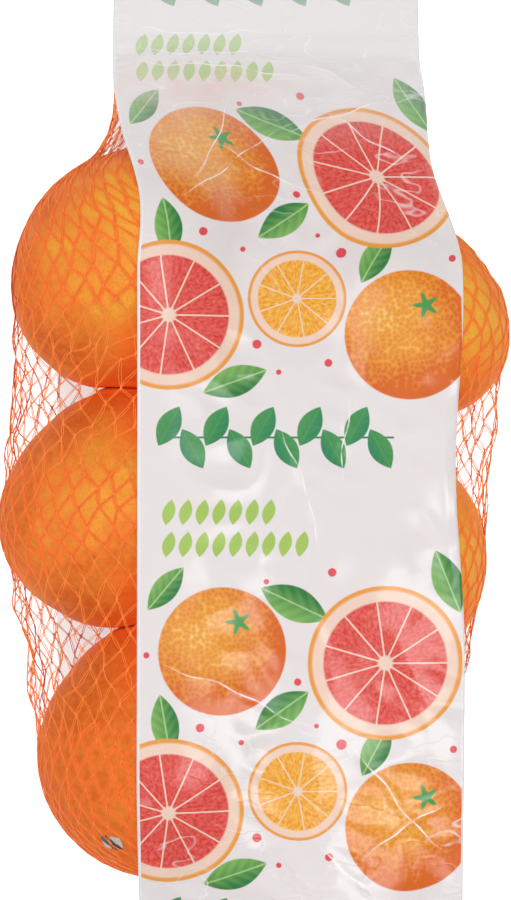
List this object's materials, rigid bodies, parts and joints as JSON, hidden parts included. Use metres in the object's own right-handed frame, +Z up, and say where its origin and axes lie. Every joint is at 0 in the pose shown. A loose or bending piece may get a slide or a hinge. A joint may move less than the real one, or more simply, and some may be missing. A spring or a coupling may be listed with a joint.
{
  "type": "net bag of oranges",
  "caption": "Knitted net bag of oranges lying on its back, with a printed film band welded over its face and a second one underneath.",
  "frame": {"origin": "centre of the pack's length and width, on the surface that it lies on", "axes": "+Y along the pack towards its header, +Z up out of the printed face, +X to the right as the face is read"},
  "size_m": [0.1691, 0.406, 0.0868],
  "materials": {
    "net": "knitted polyethylene filament, slightly glossy, orange",
    "peel": "orange peel with fine pores, waxed and softly glossy",
    "face_film": "glossy thin film, printed with citrus fruit on a pale ground",
    "back_film": "glossy thin film, pale",
    "fruit_label": "small glossy paper label"
  },
  "bodies": {
    "root": {"net_bag": "peel", "face_band": "face_film", "back_band": "back_film"}
  },
  "joints": []
}
